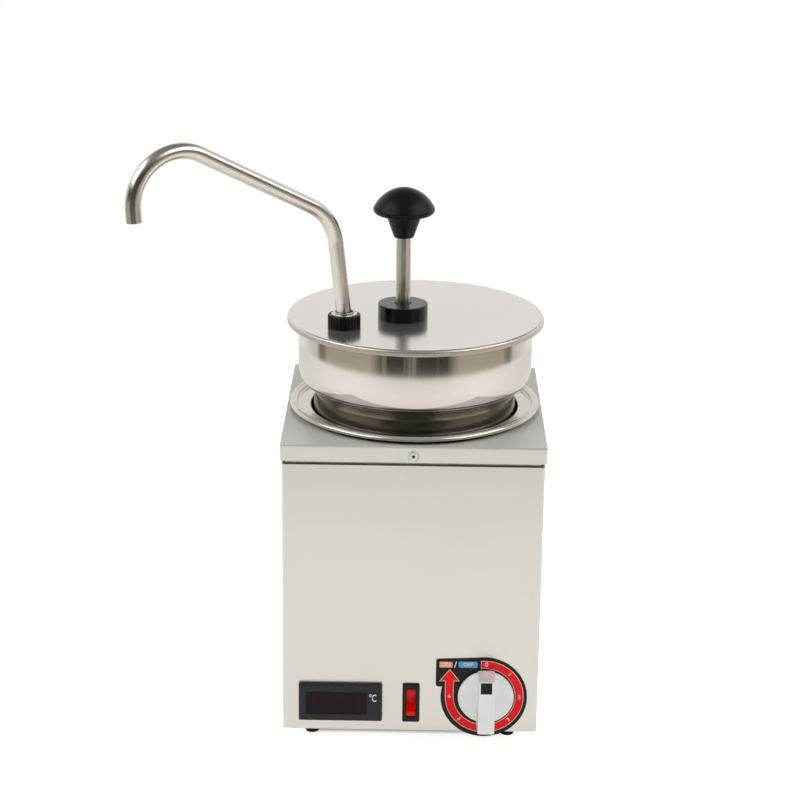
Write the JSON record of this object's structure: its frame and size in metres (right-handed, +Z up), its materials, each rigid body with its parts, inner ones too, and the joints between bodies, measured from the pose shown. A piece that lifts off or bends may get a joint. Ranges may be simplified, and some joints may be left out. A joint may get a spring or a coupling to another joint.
{
  "type": "hot fudge topping warmer",
  "caption": "Square counter-top topping warmer: heated water tank, lift-out sauce pan, lid with a push-button portion pump and a swivel spout.",
  "frame": {"origin": "middle of the four feet, on the counter", "axes": "+Z up, -Y is the control side with the dial, +X is to the right when facing the controls"},
  "size_m": [0.3367, 0.2789, 0.5239],
  "materials": {
    "satin_steel": "satin stainless sheet",
    "polished_steel": "polished stainless",
    "plain_steel": "zinc plated",
    "aluminium_plate": "milled",
    "element_sheath": "oxidised sheath",
    "copper_capillary": "bright copper",
    "brass_insert": "turned",
    "black_knob": "satin black phenolic",
    "black_collar": "turned glossy black",
    "black_nut": "knurled matte black",
    "black_rubber": "matte",
    "seal_rubber": "silicone",
    "white_plastic": "food grade plastic",
    "display_slate": "fine moulded",
    "display_glass": "dark smoked window",
    "switch_black": "moulded",
    "rocker_red": "translucent red",
    "dial_black": "printed plate",
    "knob_grey": "light grey satin",
    "dark_moulding": "moulded"
  },
  "bodies": {
    "cabinet": {"body_wrap": "satin_steel", "rear_panel": "satin_steel", "base_plate": "plain_steel", "support_frame": "plain_steel", "top_cover": "satin_steel", "cover_screws": "plain_steel", "rear_screws": "plain_steel", "base_screws": "plain_steel", "feet": "black_rubber", "foot_screws": "plain_steel", "foot_nuts": "plain_steel", "water_tank": "polished_steel", "heater_plate": "aluminium_plate", "heating_element": "element_sheath", "heater_clamp": "plain_steel", "heater_nut": "plain_steel", "thermal_cutout": "dark_moulding", "adapter_ring": "polished_steel", "rim_gasket": "black_rubber", "display_case": "display_slate", "display_window": "display_glass", "display_clips": "display_slate", "switch_body": "switch_black", "dial_plate": "dial_black", "thermostat_body": "dark_moulding", "thermostat_screws": "plain_steel", "thermostat_bulb": "copper_capillary", "bulb_clips": "plain_steel", "terminal_block": "white_plastic", "gland_body": "dark_moulding", "gland_nut": "dark_moulding", "gland_seal": "seal_rubber", "gland_locknut": "dark_moulding"},
    "pan": {"sauce_pan": "polished_steel"},
    "lid_unit": {"lid": "satin_steel", "lid_locating_ring": "polished_steel", "pump_barrel": "polished_steel", "barrel_gasket": "seal_rubber", "pump_collar": "black_collar", "rod_bush": "white_plastic", "return_spring": "plain_steel", "valve_body": "polished_steel", "check_balls": "polished_steel", "ball_stops": "polished_steel", "riser_tube": "polished_steel", "riser_coupling": "polished_steel", "spout_seal": "seal_rubber", "spout_nut": "black_nut"},
    "plunger": {"plunger_rod": "polished_steel", "piston": "white_plastic", "piston_seal": "seal_rubber", "piston_nut": "polished_steel", "push_knob": "black_knob", "knob_insert": "brass_insert"},
    "spout": {"spout_tube": "polished_steel", "spout_ferrule": "polished_steel"},
    "dial": {"control_knob": "knob_grey", "knob_index": "dial_black", "thermostat_shaft": "plain_steel"},
    "rocker": {"rocker": "rocker_red"}
  },
  "joints": [
    {"name": "pan_lift", "type": "slide", "parent": "cabinet", "child": "pan", "axis": [0, 0, 1], "range_m": [0, 0.14]},
    {"name": "lid_lift", "type": "slide", "parent": "pan", "child": "lid_unit", "axis": [0, 0, 1], "range_m": [0, 0.21]},
    {"name": "plunger_stroke", "type": "slide", "parent": "lid_unit", "child": "plunger", "axis": [0, 0, 1], "range_m": [-0.05, 0], "stiffness_N_per_m": 300, "springref_m": 0.04, "deforming": ["return_spring"]},
    {"name": "spout_swivel", "type": "hinge", "parent": "lid_unit", "child": "spout", "pos_m": [-0.05962, -0.04328, 0.357], "axis": [0, 0, 1], "range_deg": [-135, 135]},
    {"name": "thermostat_turn", "type": "hinge", "parent": "cabinet", "child": "dial", "pos_m": [0.0644, -0.1085, 0.0467], "axis": [0, 1, 0], "range_deg": [0, 270]},
    {"name": "switch_rock", "type": "hinge", "parent": "cabinet", "child": "rocker", "pos_m": [0.00085, -0.1055, 0.0389], "axis": [1, 0, 0], "range_deg": [0, 20]}
  ]
}
